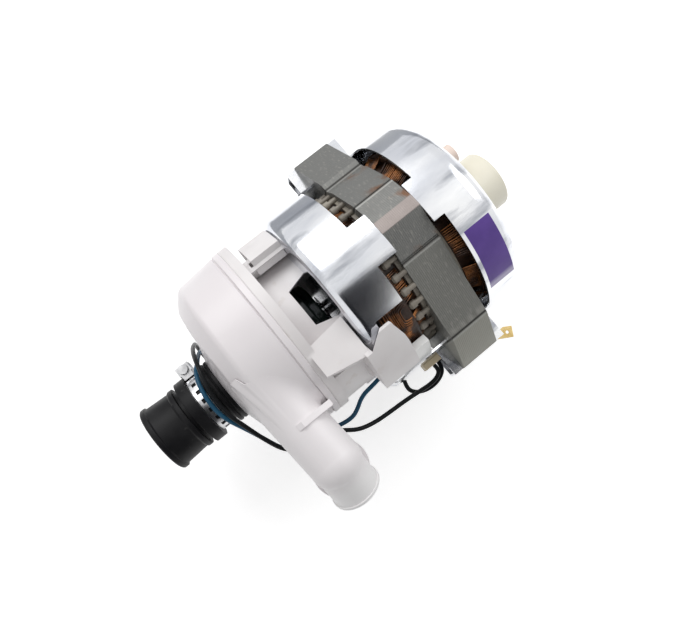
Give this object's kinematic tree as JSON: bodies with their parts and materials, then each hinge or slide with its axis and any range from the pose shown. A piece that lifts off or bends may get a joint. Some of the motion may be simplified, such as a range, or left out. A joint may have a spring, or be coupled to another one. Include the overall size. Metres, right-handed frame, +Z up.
{
  "type": "dishwasher circulation pump",
  "caption": "Centrifugal circulation pump: rubber inlet sleeve, plastic volute with bent outlet, windowed bracket, laminated stator between drawn end shields, rotor and leads.",
  "frame": {"origin": "centre of the inlet sleeve's mouth", "axes": "+X along the shaft from the inlet to the motor's rear, +Z up, the pressure outlet leaves towards -Y"},
  "size_m": [0.2288, 0.1617, 0.1188],
  "materials": {
    "black_rubber": "satin black rubber",
    "clamp_steel": "bright steel strip",
    "casing_plastic": "off-white moulded plastic",
    "bracket_plastic": "white moulded plastic",
    "seal_ceramic": "white ceramic",
    "seal_carbon": "dark carbon",
    "seal_steel": "spring steel",
    "impeller_plastic": "dark grey moulded plastic",
    "shaft_steel": "ground steel",
    "black_plastic": "glossy black plastic",
    "lamination_steel": "dark punched sheets with light rust",
    "cast_aluminium": "cast aluminium",
    "zinc_sheet": "bright zinc-plated sheet",
    "enamelled_wire": "enamelled copper wire",
    "insulator_plastic": "off-white moulded pegs",
    "zinc_steel": "zinc-plated steel",
    "terminal_brass": "bare brass",
    "cap_plastic": "cream plastic",
    "peg_plastic": "pinkish cream plastic",
    "holder_plastic": "white nylon",
    "clip_plastic": "beige nylon",
    "blue_wire": "blue insulation",
    "black_wire": "black insulation",
    "plug_plastic": "white nylon"
  },
  "bodies": {
    "housing": {"inlet_sleeve": "black_rubber", "clamp_band": "clamp_steel", "clamp_housing": "clamp_steel", "clamp_screw": "clamp_steel", "inlet_gasket": "black_rubber", "volute_casing": "casing_plastic", "casing_seal": "black_rubber", "motor_bracket": "bracket_plastic", "seal_seat": "seal_ceramic", "seal_boot": "black_rubber", "front_bearing": "shaft_steel", "rear_bearing": "shaft_steel", "front_shield": "zinc_sheet", "rear_shield": "zinc_sheet", "stator_core": "lamination_steel", "front_winding": "enamelled_wire", "rear_winding": "enamelled_wire", "front_insulator": "insulator_plastic", "rear_insulator": "insulator_plastic", "through_bolts": "zinc_steel", "bolt_nuts": "zinc_steel", "spade_terminal": "terminal_brass", "rear_cap": "cap_plastic", "rear_peg": "peg_plastic", "terminal_holder": "holder_plastic", "lead_clip": "clip_plastic", "blue_lead": "blue_wire", "black_lead": "black_wire", "black_jumper": "black_wire", "lead_plug": "plug_plastic"},
    "rotor": {"shaft": "shaft_steel", "rotor_core": "lamination_steel", "rotor_cage": "cast_aluminium", "impeller": "impeller_plastic", "impeller_shroud": "impeller_plastic", "impeller_nut": "impeller_plastic", "seal_ring": "seal_carbon", "seal_spring": "seal_steel", "slinger": "black_plastic"}
  },
  "joints": [
    {"name": "shaft_spin", "type": "hinge", "parent": "housing", "child": "rotor", "pos_m": [0, 0, 0], "axis": [1, 0, 0], "continuous": true}
  ]
}
